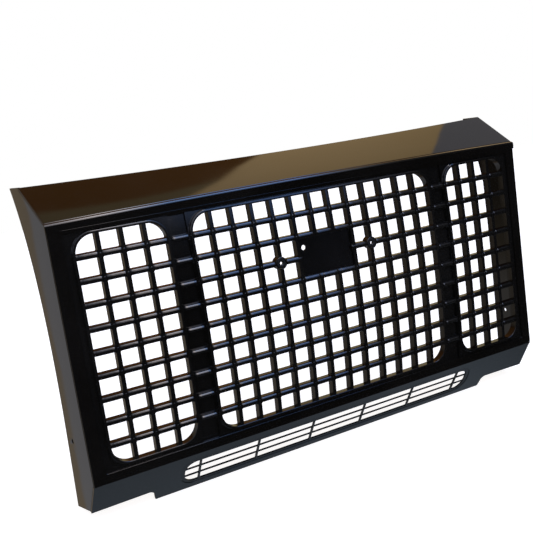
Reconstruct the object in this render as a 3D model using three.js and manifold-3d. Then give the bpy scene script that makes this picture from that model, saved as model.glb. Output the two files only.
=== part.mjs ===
// Front grille for a square-fronted off-road vehicle: a gloss black surround with a sloping top panel,
// two side cheeks and a folded lower apron, square-mesh inserts between two ribbed pillars, a blank badge
// plate with its two bosses, and a slotted lower vent. Millimetres. +X is to the right of someone facing
// the grille, +Y runs back into the vehicle and +Z is up. Nothing on it moves.
import * as THREE from "three";
import { mergeVertices } from "three/addons/utils/BufferGeometryUtils.js";
import Module from "manifold-3d";

// The square mesh: bar lines lie one pitch apart, 23 columns wide and 10 rows high.
const PITCH = 33;
const COLUMNS = 23;
const ROWS = 10;
const UPRIGHT_BAR = 6.4;
const LEVEL_BAR = 8.8;
const BAR_FRONT = -6.6;
const BAR_BACK = 6.2;
const WINDOWS = { side: [19, 22], centre: [5, 17] };
const END_RIM = 0.2;

// The mesh bulges forward like a pillow: no rise at the face outline, CROWN at its middle.
const CROWN = 12.5;
const CROWN_HALF_WIDTH = 412;
const CROWN_HALF_HEIGHT = 184;

// Shell pieces have one wall thickness, and touching pieces keep a small gap. Cutters reach far past a piece.
const WALL = 3;
const GAP = 0.3;
const THROUGH = 50;

// The flat face frame around the mesh.
const FACE_FRONT = 7.6;
const FACE_BACK = FACE_FRONT + WALL;
const SHELL_START = FACE_BACK + GAP;
const FACE_HALF_WIDTH = 411.5;
const FACE_TOP = 182.5;
const FACE_TOP_BOW = 3.3;
const FACE_BOTTOM = -184.7;
const FIELD = { halfWidth: 393, top: 166, bottom: -169.6, radius: 3 };
const BAND = { bottom: 171.5, proud: 1, overhang: 1, lap: 1, segments: 16 };

// The flange of each insert lies flat behind the frame and is held by screws in the frame's bosses.
const FLANGE = { thickness: 2.6, reach: 10, sideReach: 12, lap: 1 };
const SCREW = { top: 171.5, bottom: -175.4, side: 399.5, columns: [-231, -99, 99, 231], rows: [-66, 66] };
const BOSS = { radius: 3.2, height: 2.6, root: 1, bore: 1.6, boreDepth: 3.8 };
const SCREW_HEAD = { radius: 4.8, height: 2.2, washerHeight: 0.9, topRadius: 2.9, segments: 12 };
const SCREW_SHANK = { radius: 1.3, length: 3.9 };

// The cheeks splay outwards towards the back.
const CHEEK_AT_SHELL = 411.97;
const CHEEK_SPLAY = 0.0939;
const CHEEK_TIP = { y: 138.1, z: 233.3 };
const CHEEK_HEEL = { y: 102.4, z: -241.4 };
const CHEEK_REAR = [
  { y: 59, z: 95 },
  { y: 89.5, z: -103 },
];
const CHEEK_HOLE = { y: 67.8, z: -130.3, radius: 3.4 };

// The top panel slopes up and back from the face; both its edges are bowed along their length.
const TOP_PANEL = { front: 184, frontBow: 3.3, rearY: 85.1, rearYEnds: 9.7, rearZ: 227.7, rearZEnds: 5.6 };

// The apron folds back and down from the foot of the face; s runs down its slope.
const APRON_ANGLE = THREE.MathUtils.degToRad(34.3);
const APRON = { end: 58.3, shoulder: 56.5, middle: 79.2 };
const TONGUE = { shoulderX: 328, neckX: 320, neckS: 62, footX: 317 };
const SLOT = { halfWidth: 279, top: 10, bottom: 69, radius: 25 };
const VENT = { halfWidth: 272, top: 18.8, bottom: 64.4, radius: 18, recess: 1, thickness: 2.6 };
const VENT_BAR = { count: 2, width: 2.4, depth: 2, recess: 1.5, lap: 1 };
const VENT_DIVIDER = { width: 3, depth: 2.4, firstColumn: 4, step: 3, count: 6 };

// The blank badge plate fills three columns and two rows, between two bosses on bar crossings.
const BADGE = { columns: [10, 12], rows: [2, 3], thickness: 2.6, holeX: -38.3, holeZ: 81, holeRadius: 4 };
const BADGE_BOSS = { x: 2.5 * PITCH, z: 2 * PITCH, radius: 9.75, proud: 0.5, bore: 8, segments: 10 };
const BUSH = { radius: 7.7, hole: 2.3, front: -6.6, back: -3.4, segments: 20 };

// The pillars are ribbed strips between the windows.
const RIB = { length: 24, height: 7, front: BAR_FRONT, root: 1.5 };
const PILLAR = { front: 0.5, thickness: 2.5, column: 7 };

const wasm = await Module();
wasm.setup();

const lineX = (column) => (column - COLUMNS / 2) * PITCH;
const lineZ = (row) => (ROWS / 2 - row) * PITCH;
const screwSites = [
  ...SCREW.columns.map((x) => [x, SCREW.top]),
  ...SCREW.columns.map((x) => [x, SCREW.bottom]),
  ...SCREW.rows.map((z) => [-SCREW.side, z]),
  ...SCREW.rows.map((z) => [SCREW.side, z]),
];
const cheekX = (y) => CHEEK_AT_SHELL + CHEEK_SPLAY * (y - SHELL_START);

// How far the crowned mesh has fallen back from its foremost point.
function crownAt(x, z) {
  const across = (x / CROWN_HALF_WIDTH) ** 2;
  const upward = (z / CROWN_HALF_HEIGHT) ** 2;
  return CROWN * (1 - (1 - across) * (1 - upward));
}

function toSolid(geometry) {
  const bare = geometry.clone();
  bare.deleteAttribute("normal");
  bare.deleteAttribute("uv");
  const merged = mergeVertices(bare, 1e-4);
  return new wasm.Manifold(
    new wasm.Mesh({
      numProp: 3,
      vertProperties: merged.attributes.position.array,
      triVerts: new Uint32Array(merged.index.array),
    }),
  );
}

function toGeometry(solid) {
  const { vertProperties, triVerts } = solid.getMesh();
  const geometry = new THREE.BufferGeometry();
  geometry.setAttribute("position", new THREE.BufferAttribute(vertProperties, 3));
  geometry.setIndex(new THREE.BufferAttribute(triVerts, 1));
  geometry.computeVertexNormals();
  return geometry;
}

function joined(geometries) {
  return toGeometry(geometries.map(toSolid).reduce((all, next) => all.add(next)));
}

function cut(geometry, tools) {
  const solid = tools.map(toSolid).reduce((left, tool) => left.subtract(tool), toSolid(geometry));
  return toGeometry(solid);
}

function mapVertices(geometry, place) {
  const position = geometry.getAttribute("position");
  const point = new THREE.Vector3();
  for (let i = 0; i < position.count; i += 1) {
    place(point.fromBufferAttribute(position, i));
    position.setXYZ(i, point.x, point.y, point.z);
  }
  geometry.computeVertexNormals();
  return geometry;
}

const crowned = (geometry) => mapVertices(geometry, (p) => p.setY(p.y + crownAt(p.x, p.z)));

function rectangle(left, right, bottom, top) {
  const shape = new THREE.Shape();
  shape.moveTo(left, bottom);
  shape.lineTo(right, bottom);
  shape.lineTo(right, top);
  shape.lineTo(left, top);
  return shape;
}

function roundedRectangle(left, right, bottom, top, radius) {
  const shape = new THREE.Shape();
  shape.moveTo(left + radius, bottom);
  shape.absarc(right - radius, bottom + radius, radius, -Math.PI / 2, 0);
  shape.absarc(right - radius, top - radius, radius, 0, Math.PI / 2);
  shape.absarc(left + radius, top - radius, radius, Math.PI / 2, Math.PI);
  shape.absarc(left + radius, bottom + radius, radius, Math.PI, Math.PI * 1.5);
  return shape;
}

function disc(x, z, radius) {
  return new THREE.Shape().absarc(x, z, radius, 0, Math.PI * 2);
}

// A shape drawn in X and Z, standing upright between two depths.
function upright(shape, front, back, curveSegments = 6) {
  const options = { depth: back - front, bevelEnabled: false, curveSegments };
  return new THREE.ExtrudeGeometry(shape, options).rotateX(Math.PI / 2).translate(0, back, 0);
}

// The opening between four bars. An opening in a window's corner is a quarter round, and the
// openings at the end of a side window run almost up to the last bar line.
function meshOpening(column, row, [first, last]) {
  const left = lineX(column) + UPRIGHT_BAR / 2;
  const right = lineX(column + 1) - (column + 1 === COLUMNS ? END_RIM : UPRIGHT_BAR / 2);
  const top = lineZ(row) - LEVEL_BAR / 2;
  const bottom = lineZ(row + 1) + LEVEL_BAR / 2;
  const atSide = column === first || column === last;
  const atEnd = row === 0 || row === ROWS - 1;
  if (!atSide || !atEnd) return rectangle(left, right, bottom, top);
  const quarter = column === first ? (row === 0 ? 1 : 2) : row === 0 ? 0 : 3;
  const cornerX = column === first ? right : left;
  const cornerZ = row === 0 ? bottom : top;
  const start = (quarter * Math.PI) / 2;
  const shape = new THREE.Shape();
  shape.moveTo(cornerX, cornerZ);
  return shape.absellipse(cornerX, cornerZ, right - left, top - bottom, start, start + Math.PI / 2);
}

// A window's bars as one skin: each cell gives the front, the back and the walls of its opening,
// and the cells along the window's edge give the outer walls.
function windowGrid(window) {
  const rim = UPRIGHT_BAR / 2;
  const edges = {
    left: lineX(window[0]) - rim,
    right: lineX(window[1] + 1) + rim,
    bottom: FIELD.bottom + GAP,
    top: FIELD.top - GAP,
  };
  const corners = [];
  const at = (p, depth) => corners.push(p.x, depth + crownAt(p.x, p.y), p.y);
  const onEdge = (p, q) =>
    (p.x === q.x && (p.x === edges.left || p.x === edges.right)) ||
    (p.y === q.y && (p.y === edges.bottom || p.y === edges.top));
  const wall = (p, q) => {
    [p, q].forEach((end) => at(end, BAR_FRONT));
    at(q, BAR_BACK);
    at(p, BAR_FRONT);
    [q, p].forEach((end) => at(end, BAR_BACK));
  };
  const walls = (ring, kept) => {
    ring.forEach((p, i) => {
      const q = ring[(i + 1) % ring.length];
      if (kept(p, q)) wall(q, p);
    });
  };
  for (let column = window[0]; column <= window[1]; column += 1) {
    for (let row = 0; row < ROWS; row += 1) {
      const left = column === window[0] ? edges.left : lineX(column);
      const right = column === window[1] ? edges.right : lineX(column + 1);
      const top = row === 0 ? edges.top : lineZ(row);
      const bottom = row === ROWS - 1 ? edges.bottom : lineZ(row + 1);
      const outline = rectangle(left, right, bottom, top).getPoints().slice(0, 4);
      const arc = meshOpening(column, row, window).getPoints(4);
      const opening = arc.filter((p, i) => i === 0 || !p.equals(arc[i - 1])).reverse();
      const points = [...outline, ...opening];
      THREE.ShapeUtils.triangulateShape(outline, [opening]).forEach((face) => {
        face.forEach((i) => at(points[i], BAR_FRONT));
        face.toReversed().forEach((i) => at(points[i], BAR_BACK));
      });
      walls(outline, onEdge);
      walls(opening, () => true);
    }
  }
  const geometry = new THREE.BufferGeometry();
  geometry.setAttribute("position", new THREE.Float32BufferAttribute(corners, 3));
  return geometry;
}

// The badge plate's opening.
const badgeEdges = {
  left: lineX(BADGE.columns[0]) + UPRIGHT_BAR / 2,
  right: lineX(BADGE.columns[1] + 1) - UPRIGHT_BAR / 2,
  top: lineZ(BADGE.rows[0]) - LEVEL_BAR / 2,
  bottom: lineZ(BADGE.rows[1] + 1) + LEVEL_BAR / 2,
};
const badgeCentreZ = (badgeEdges.top + badgeEdges.bottom) / 2;
const badgeSlope = (2 * CROWN * badgeCentreZ) / CROWN_HALF_HEIGHT ** 2;

// One straight run of the flange behind the frame, with a hole round each of the frame's bosses.
function flangeStrip(left, right, bottom, top) {
  const shape = rectangle(left, right, bottom, top);
  screwSites.forEach(([x, z]) => {
    if (x > left && x < right && z > bottom && z < top) shape.holes.push(disc(x, z, BOSS.radius + GAP));
  });
  return upright(shape, SHELL_START, SHELL_START + FLANGE.thickness);
}

// The runs along the top and the bottom of a window or a pillar.
function flangeEnds(left, right) {
  const upper = flangeStrip(left, right, lineZ(0) - FLANGE.lap, FIELD.top + FLANGE.reach);
  const lower = flangeStrip(left, right, FIELD.bottom - FLANGE.reach, lineZ(ROWS) + FLANGE.lap);
  return [upper, lower];
}

function sideMesh() {
  const left = lineX(WINDOWS.side[0]) - UPRIGHT_BAR / 2;
  const right = FIELD.halfWidth + FLANGE.sideReach;
  const side = flangeStrip(lineX(COLUMNS), right, FIELD.bottom - FLANGE.reach, FIELD.top + FLANGE.reach);
  return joined([windowGrid(WINDOWS.side), ...flangeEnds(left, right), side]);
}

function centreMesh() {
  const half = lineX(WINDOWS.centre[1] + 1) + UPRIGHT_BAR / 2;
  const { x, z, radius, bore, proud, segments } = BADGE_BOSS;
  const round = (side, size, front, back) => upright(disc(side * x, z, size), front, back, segments);
  const bosses = [-1, 1].map((side) => crowned(round(side, radius, BAR_FRONT - proud, BAR_BACK + proud)));
  const whole = joined([windowGrid(WINDOWS.centre), ...bosses, ...flangeEnds(-half, half)]);
  const opening = rectangle(badgeEdges.left, badgeEdges.right, badgeEdges.bottom, badgeEdges.top);
  const bores = [-1, 1].map((side) => round(side, bore, -THROUGH, THROUGH));
  return cut(whole, [upright(opening, -THROUGH, THROUGH), ...bores]);
}

// A ribbed strip that fills the column between two windows; its ends lie behind the frame.
function pillar() {
  const halfWidth = PITCH / 2 - UPRIGHT_BAR / 2 - GAP;
  const x = PILLAR.column * PITCH;
  const strip = new THREE.BoxGeometry(2 * halfWidth, PILLAR.thickness, ROWS * PITCH, 1, 1, ROWS);
  const pieces = [crowned(strip.translate(x, PILLAR.front + PILLAR.thickness / 2, 0))];
  const depth = PILLAR.front + RIB.root - RIB.front;
  for (let row = 1; row < ROWS; row += 1) {
    const rib = new THREE.BoxGeometry(RIB.length, depth, RIB.height);
    pieces.push(crowned(rib.translate(x, RIB.front + depth / 2, lineZ(row))));
  }
  return joined([...pieces, ...flangeEnds(x - halfWidth, x + halfWidth)]);
}

// The flat frame round the mesh, with the proud band along its top and a boss for each screw.
function faceFrame() {
  const { halfWidth, top, bottom, radius } = FIELD;
  const ring = rectangle(-FACE_HALF_WIDTH, FACE_HALF_WIDTH, FACE_BOTTOM, BAND.bottom + BAND.lap);
  ring.holes.push(roundedRectangle(-halfWidth, halfWidth, bottom, top, radius));
  const bandEnd = FACE_HALF_WIDTH + BAND.overhang;
  const band = new THREE.Shape();
  band.moveTo(-bandEnd, BAND.bottom);
  band.lineTo(bandEnd, BAND.bottom);
  band.lineTo(bandEnd, FACE_TOP);
  band.quadraticCurveTo(0, FACE_TOP + 2 * FACE_TOP_BOW, -bandEnd, FACE_TOP);
  const end = FACE_BACK + BOSS.height;
  const bosses = screwSites.map(([x, z]) => upright(disc(x, z, BOSS.radius), FACE_BACK - BOSS.root, end));
  const bores = screwSites.map(([x, z]) => upright(disc(x, z, BOSS.bore), end - BOSS.boreDepth, THROUGH));
  const flat = upright(ring, FACE_FRONT, FACE_BACK);
  const proud = upright(band, FACE_FRONT - BAND.proud, FACE_BACK, BAND.segments);
  return cut(joined([flat, proud, ...bosses]), bores);
}

function topPanel() {
  const slab = new THREE.BoxGeometry(2, 1, 1, 16, 2, 1);
  return mapVertices(slab, (p) => {
    const along = p.y + 0.5;
    const inward = 0.5 - p.z;
    const ends = p.x ** 2;
    const { front: frontEnds, frontBow, rearY, rearYEnds, rearZ, rearZEnds } = TOP_PANEL;
    const front = new THREE.Vector2(SHELL_START, frontEnds + frontBow * (1 - ends));
    const rear = new THREE.Vector2(rearY + rearYEnds * ends, rearZ + rearZEnds * ends);
    const slope = rear.clone().sub(front);
    const drop = (WALL * slope.length()) / slope.x;
    const edge = front.lerp(rear, along);
    p.set(p.x * cheekX(edge.x), edge.x, edge.y - inward * drop);
  });
}

// A point of the apron's slope in Y and Z: s down the slope, depth in from its outer face.
function onApron(s, depth) {
  const y = SHELL_START + s * Math.sin(APRON_ANGLE) + depth * Math.cos(APRON_ANGLE);
  const z = FACE_BOTTOM - GAP - s * Math.cos(APRON_ANGLE) + depth * Math.sin(APRON_ANGLE);
  return [y, z];
}

function cheek() {
  const topEnds = { y: TOP_PANEL.rearY + TOP_PANEL.rearYEnds, z: TOP_PANEL.rearZ + TOP_PANEL.rearZEnds };
  const run = topEnds.y - SHELL_START;
  const drop = (WALL * Math.hypot(run, topEnds.z - TOP_PANEL.front)) / run + GAP;
  const shape = new THREE.Shape();
  shape.moveTo(SHELL_START, TOP_PANEL.front - drop);
  shape.lineTo(SHELL_START, onApron(0, WALL + GAP)[1]);
  shape.lineTo(...onApron(0, WALL + GAP));
  shape.lineTo(...onApron(APRON.end, WALL + GAP));
  shape.lineTo(CHEEK_HEEL.y, CHEEK_HEEL.z);
  const [upper, lower] = CHEEK_REAR;
  shape.bezierCurveTo(lower.y, lower.z, upper.y, upper.z, CHEEK_TIP.y, CHEEK_TIP.z);
  shape.lineTo(topEnds.y + GAP, CHEEK_TIP.z);
  shape.lineTo(topEnds.y + GAP, topEnds.z - drop);
  shape.holes.push(disc(CHEEK_HOLE.y, CHEEK_HOLE.z, CHEEK_HOLE.radius));
  const plate = new THREE.ExtrudeGeometry(shape, { depth: WALL, bevelEnabled: false, curveSegments: 16 });
  return mapVertices(plate, (p) => p.set(cheekX(p.x) - WALL + p.z, p.x, p.y));
}

function apronOutline() {
  const { end, shoulder, middle } = APRON;
  const { shoulderX, neckX, neckS, footX } = TONGUE;
  const foot = cheekX(onApron(end, 0)[0]);
  const top = cheekX(SHELL_START);
  const shape = new THREE.Shape();
  shape.moveTo(-top, 0);
  shape.lineTo(-foot, -end);
  shape.lineTo(-shoulderX, -shoulder);
  shape.quadraticCurveTo(-neckX, -shoulder, -neckX, -neckS);
  shape.lineTo(-footX, -middle);
  shape.lineTo(footX, -middle);
  shape.lineTo(neckX, -neckS);
  shape.quadraticCurveTo(neckX, -shoulder, shoulderX, -shoulder);
  shape.lineTo(foot, -end);
  shape.lineTo(top, 0);
  return shape;
}

// Apron pieces are drawn in X and -s, with their outer face at z = 0 and their depth below it.
function apronPlate(shape, outer, thickness) {
  const options = { depth: thickness, bevelEnabled: false, curveSegments: 6 };
  return new THREE.ExtrudeGeometry(shape, options).translate(0, 0, -outer - thickness);
}

function lowerApron() {
  const shape = apronOutline();
  const { halfWidth, top, bottom, radius } = SLOT;
  shape.holes.push(roundedRectangle(-halfWidth, halfWidth, -bottom, -top, radius));
  return apronPlate(shape, 0, WALL);
}

function lowerVent() {
  const outer = [-SLOT.halfWidth + GAP, SLOT.halfWidth - GAP, -SLOT.bottom + GAP, -SLOT.top - GAP];
  const ring = roundedRectangle(...outer, SLOT.radius - GAP);
  ring.holes.push(roundedRectangle(-VENT.halfWidth, VENT.halfWidth, -VENT.bottom, -VENT.top, VENT.radius));
  const pieces = [apronPlate(ring, VENT.recess, VENT.thickness)];
  const { count, width, depth, lap, recess } = VENT_BAR;
  const pitch = (VENT.bottom - VENT.top + width) / (count + 1);
  for (let i = 1; i <= count; i += 1) {
    const s = VENT.top + i * pitch - width;
    const bar = rectangle(-VENT.halfWidth - lap, VENT.halfWidth + lap, -s - width, -s);
    pieces.push(apronPlate(bar, recess, depth));
  }
  for (let i = 0; i < VENT_DIVIDER.count; i += 1) {
    const x = lineX(VENT_DIVIDER.firstColumn + i * VENT_DIVIDER.step);
    const half = VENT_DIVIDER.width / 2;
    const divider = rectangle(x - half, x + half, -VENT.bottom - lap, -VENT.top + lap);
    pieces.push(apronPlate(divider, VENT.recess, VENT_DIVIDER.depth));
  }
  return joined(pieces);
}

// The blank plate is flat and leans with the mesh around it.
function badgePlate() {
  const width = badgeEdges.right - badgeEdges.left - 2 * GAP;
  const height = badgeEdges.top - badgeEdges.bottom - 2 * GAP;
  const shape = rectangle(-width / 2, width / 2, -height / 2, height / 2);
  shape.holes.push(disc(BADGE.holeX, BADGE.holeZ - badgeCentreZ, BADGE.holeRadius));
  return upright(shape, -BADGE.thickness / 2, BADGE.thickness / 2, 8);
}

// A round piece about Y, from a profile of radius and depth.
function turned(profile, segments) {
  const points = profile.map(([radius, y]) => new THREE.Vector2(radius, y));
  return new THREE.LatheGeometry(points, segments);
}

function badgeBush() {
  const { radius, hole, front, back } = BUSH;
  const profile = [
    [hole, front],
    [radius, front],
    [radius, back],
    [hole, back],
    [hole, front],
  ];
  return turned(profile, BUSH.segments);
}

function meshScrew() {
  const profile = [
    [0, -SCREW_SHANK.length],
    [SCREW_SHANK.radius, -SCREW_SHANK.length],
    [SCREW_SHANK.radius, 0],
    [SCREW_HEAD.radius, 0],
    [SCREW_HEAD.radius, SCREW_HEAD.washerHeight],
    [SCREW_HEAD.topRadius, SCREW_HEAD.height],
    [0, SCREW_HEAD.height],
  ];
  return turned(profile, SCREW_HEAD.segments);
}

const finishes = {
  gloss: { color: 0x0e0f12, roughness: 0.12, metalness: 0 },
  mesh: { color: 0x121317, roughness: 0.18, metalness: 0 },
  satin: { color: 0x15161a, roughness: 0.3, metalness: 0 },
  steel: { color: 0x6d7076, roughness: 0.4, metalness: 0.9 },
};

const grille = new THREE.Group();
const body = new THREE.Group();
grille.add(body);

function add(name, geometry, finish, parent = body) {
  const mesh = new THREE.Mesh(geometry, new THREE.MeshStandardMaterial(finishes[finish]));
  mesh.name = name;
  parent.add(mesh);
  return mesh;
}

// Pieces with a twin on the other side are modelled on the right and mirrored to the left.
function addPair(name, geometry, finish) {
  add(`right_${name}`, geometry, finish);
  add(`left_${name}`, geometry, finish).scale.x = -1;
}

add("face_frame", faceFrame(), "gloss");
add("top_panel", topPanel(), "gloss");
addPair("cheek", cheek(), "gloss");
addPair("mesh", sideMesh(), "mesh");
add("centre_mesh", centreMesh(), "mesh");
addPair("pillar", pillar(), "mesh");

const badge = add("badge_plate", badgePlate(), "satin");
badge.position.set(0, crownAt(0, badgeCentreZ), badgeCentreZ);
badge.rotation.x = -Math.atan(badgeSlope);

for (const [name, side] of [
  ["left_badge_bush", -1],
  ["right_badge_bush", 1],
]) {
  const x = side * BADGE_BOSS.x;
  add(name, badgeBush(), "satin").position.set(x, crownAt(x, BADGE_BOSS.z), BADGE_BOSS.z);
}

const slope = new THREE.Group();
slope.position.set(0, ...onApron(0, 0));
slope.rotation.x = Math.PI / 2 + APRON_ANGLE;
body.add(slope);
add("lower_apron", lowerApron(), "gloss", slope);
add("lower_vent", lowerVent(), "mesh", slope);

screwSites.forEach(([x, z], i) => {
  const seat = SHELL_START + FLANGE.thickness + GAP;
  add(`mesh_screw_${String(i + 1).padStart(2, "0")}`, meshScrew(), "steel").position.set(x, seat, z);
});

// The origin is the middle of the whole grille's box.
const middle = new THREE.Box3().setFromObject(body, true).getCenter(new THREE.Vector3());
body.position.set(0, -middle.y, -middle.z);

export default grille;
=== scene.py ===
"""The looks of a gloss black front grille with a crowned square mesh.

Sizes are in millimetres in the grille's own layout: x to the right, y back into the vehicle, z up, measured
from the middle of the mesh. to_row() turns a point of that layout into metres in the frame's row.
"""

import math

import bmesh
import bpy
from mathutils import Matrix, Vector
from mathutils.geometry import tessellate_polygon


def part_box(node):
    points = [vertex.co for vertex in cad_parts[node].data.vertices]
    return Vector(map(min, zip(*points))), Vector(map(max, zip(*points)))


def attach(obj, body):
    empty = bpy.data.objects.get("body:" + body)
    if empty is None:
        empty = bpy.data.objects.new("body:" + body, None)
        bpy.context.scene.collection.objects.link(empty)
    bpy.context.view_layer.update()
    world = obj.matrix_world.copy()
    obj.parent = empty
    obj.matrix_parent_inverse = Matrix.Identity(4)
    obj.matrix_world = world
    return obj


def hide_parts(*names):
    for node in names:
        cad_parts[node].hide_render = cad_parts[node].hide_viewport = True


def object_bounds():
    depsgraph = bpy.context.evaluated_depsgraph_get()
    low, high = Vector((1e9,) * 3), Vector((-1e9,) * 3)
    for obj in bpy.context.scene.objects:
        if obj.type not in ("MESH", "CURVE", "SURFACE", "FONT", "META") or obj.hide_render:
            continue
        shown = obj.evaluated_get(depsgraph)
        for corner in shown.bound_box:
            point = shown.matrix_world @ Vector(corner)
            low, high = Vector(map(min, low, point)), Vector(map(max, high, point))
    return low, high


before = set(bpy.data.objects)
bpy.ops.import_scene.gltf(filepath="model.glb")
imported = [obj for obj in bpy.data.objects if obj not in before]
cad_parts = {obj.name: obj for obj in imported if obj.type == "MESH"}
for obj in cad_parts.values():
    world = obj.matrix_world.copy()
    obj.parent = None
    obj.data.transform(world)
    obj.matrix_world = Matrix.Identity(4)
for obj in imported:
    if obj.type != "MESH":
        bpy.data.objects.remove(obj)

MM = 0.001
CAD_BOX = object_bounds()

# ---------------------------------------------------------------- sizes

BAND_FRONT = 6.6
LIP_MIDDLE = 185.8
WINDOW_COLUMNS = 13
BAR = 6.4
LEVEL_BAR = 8.8
END_RIM = 0.2

frame_low, frame_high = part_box("face_frame")
mesh_low, mesh_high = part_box("centre_mesh")
PITCH = ((mesh_high.x - mesh_low.x) / MM - BAR) / WINDOW_COLUMNS
ORIGIN = Vector((0, frame_low.y - BAND_FRONT * MM, frame_high.z - LIP_MIDDLE * MM))

CROWN = 12.5
CROWN_HALF_WIDTH = 412
CROWN_HALF_HEIGHT = 184
FRONT = -6.6
BACK = 6.1
RECESS = -2.2

CENTRE_EDGE = 6.5 * PITCH
SIDE_EDGES = (7.5 * PITCH, 11.5 * PITCH)
TOP_LINE = 5 * PITCH
FIELD = {"half": 393, "top": 166, "bottom": -169.6}
GAP = 0.3

BAND_HALF = 412.5
LIP_RADIUS = 3.4
LIP_SLOPE = math.radians(30.7)
FACE_FRONT = 7.6
FACE_BACK = 10.6
SHELL_START = 10.9
WALL = 3
FACE_HALF = 411.5
FACE_BOTTOM = -184.7
BAND_BOTTOM = 171.5
LIP_ENDS = 182.5

SCREW_SITES = [(x, z) for z in (171.5, -175.4) for x in (-231, -99, 99, 231)]
SCREW_SITES += [(x, z) for x in (-399.5, 399.5) for z in (-66, 66)]
FLANGE = 2.6
FLANGE_REACH = 10
FLANGE_SIDE_REACH = 12
FLANGE_LAP = 1
BOSS_CLEARANCE = 3.5

CHEEK_HOLE = {"y": 67.8, "z": -130.3, "radius": 3.4}
PANEL_REAR = (94.8, 233.3)
LIP_REAR = 184

APRON_ANGLE = math.radians(34.3)
APRON_LENGTH = 58.3
SLOT = {"half": 279, "top": 10, "bottom": 69, "radius": 25}
VENT = {"half": 272, "top": 18.8, "bottom": 64.4, "radius": 18}
VENT_BAR = 2.4
VENT_BARS = 2
DIVIDER_COLUMNS = (-7.5, -4.5, -1.5, 1.5, 4.5, 7.5)


def crown(x, z):
    """How far the crowned mesh has fallen back from its foremost point."""
    return CROWN * (1 - (1 - (x / CROWN_HALF_WIDTH) ** 2) * (1 - (z / CROWN_HALF_HEIGHT) ** 2))


def cheek_x(y):
    return 411.97 + 0.0939 * (y - SHELL_START)


def to_row(point):
    return ORIGIN + Vector(point) * MM


# ---------------------------------------------------------------- camera


def add_camera():
    data = bpy.data.cameras.new("camera")
    data.sensor_width = 36
    data.lens = 53.14
    data.clip_end = 50
    camera = bpy.data.objects.new("camera", data)
    bpy.context.scene.collection.objects.link(camera)
    right = Vector((0.8732, -0.4661, -0.1422))
    up = Vector((0.2006, 0.0780, 0.9766))
    ahead = Vector((0.4441, 0.8813, -0.1617))
    turn = Matrix((right, up, -ahead)).transposed()
    camera.matrix_world = Matrix.Translation(to_row((-623.3, -1026.7, 253.9))) @ turn.to_4x4()
    bpy.context.scene.camera = camera


add_camera()
bpy.context.scene.view_settings.view_transform = "Standard"

# ---------------------------------------------------------------- outlines and forms


def rounded(corners, steps=4):
    """The outline through corners (x, y, radius), each turned through an arc of its radius."""
    points = []
    for i, (x, y, radius) in enumerate(corners):
        here = Vector((x, y))
        if not radius:
            points.append(here)
            continue
        before = (Vector(corners[i - 1][:2]) - here).normalized()
        after = (Vector(corners[(i + 1) % len(corners)][:2]) - here).normalized()
        half = before.angle(after) / 2
        centre = here + (before + after).normalized() * radius / math.sin(half)
        first = here + before * radius / math.tan(half) - centre
        last = here + after * radius / math.tan(half) - centre
        sweep = first.angle_signed(last)
        for k in range(steps + 1):
            points.append(centre + Matrix.Rotation(-sweep * k / steps, 2) @ first)
    return points


def circle(x, y, radius, steps=24):
    return [
        Vector((x + radius * math.cos(k * math.tau / steps), y + radius * math.sin(k * math.tau / steps)))
        for k in range(steps)
    ]


def spaced(low, high, step):
    """Evenly spaced numbers from low to high, no further apart than step."""
    count = max(1, math.ceil(abs(high - low) / step))
    return [low + (high - low) * k / count for k in range(count + 1)]


def loft(rings, closed=False):
    """A skin through rings of points, capped at both ends or closed on itself."""
    size = len(rings[0])
    points = [Vector(p) for ring in rings for p in ring]
    faces = []
    spans = len(rings) if closed else len(rings) - 1
    for i in range(spans):
        here = i * size
        there = ((i + 1) % len(rings)) * size
        for k in range(size):
            n = (k + 1) % size
            faces.append((here + k, here + n, there + n, there + k))
    if not closed:
        faces.append(tuple(reversed(range(size))))
        faces.append(tuple(range((len(rings) - 1) * size, len(rings) * size)))
    return points, faces


def plate(outline, holes, front, back):
    """A flat plate drawn in x and z, from depth front to depth back."""
    rings = [list(outline)] + [list(hole) for hole in holes]
    flat = [p for ring in rings for p in ring]
    triangles = tessellate_polygon([[Vector((p[0], p[1], 0)) for p in ring] for ring in rings])
    count = len(flat)
    points = [Vector((p[0], y, p[1])) for y in (front, back) for p in flat]
    faces = [tuple(face) for face in triangles]
    faces += [tuple(i + count for i in reversed(face)) for face in triangles]
    start = 0
    for ring in rings:
        for k in range(len(ring)):
            a = start + k
            b = start + (k + 1) % len(ring)
            faces.append((a, b, b + count, a + count))
        start += len(ring)
    return points, faces


def turned(profile, x, z, depth=0, steps=32):
    """A round form about an axis along y: profile holds (radius, y) and starts and ends on one line."""
    rings = []
    for k in range(steps):
        a = k * math.tau / steps
        rings.append([(x + r * math.cos(a), depth + y, z + r * math.sin(a)) for r, y in profile])
    return loft(rings, closed=True)


def moved(form, place):
    points, faces = form
    return [Vector(place(p)) for p in points], faces


def crowned(form):
    return moved(form, lambda p: (p.x, p.y + crown(p.x, p.z), p.z))


def mirrored(form):
    return moved(form, lambda p: (-p.x, p.y, p.z))


def to_mesh(name, forms, meshes=()):
    """One mesh in the row's frame from forms in millimetres and meshes that are in that frame already."""
    bm = bmesh.new()
    for points, faces in forms:
        corners = [bm.verts.new(to_row(p)) for p in points]
        for face in faces:
            bm.faces.new([corners[i] for i in face])
    for mesh in meshes:
        bm.from_mesh(mesh)
    bmesh.ops.remove_doubles(bm, verts=bm.verts, dist=1e-6)
    bmesh.ops.dissolve_degenerate(bm, edges=bm.edges, dist=1e-6)
    bmesh.ops.recalc_face_normals(bm, faces=bm.faces)
    mesh = bpy.data.meshes.new(name)
    bm.to_mesh(mesh)
    bm.free()
    return mesh


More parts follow.
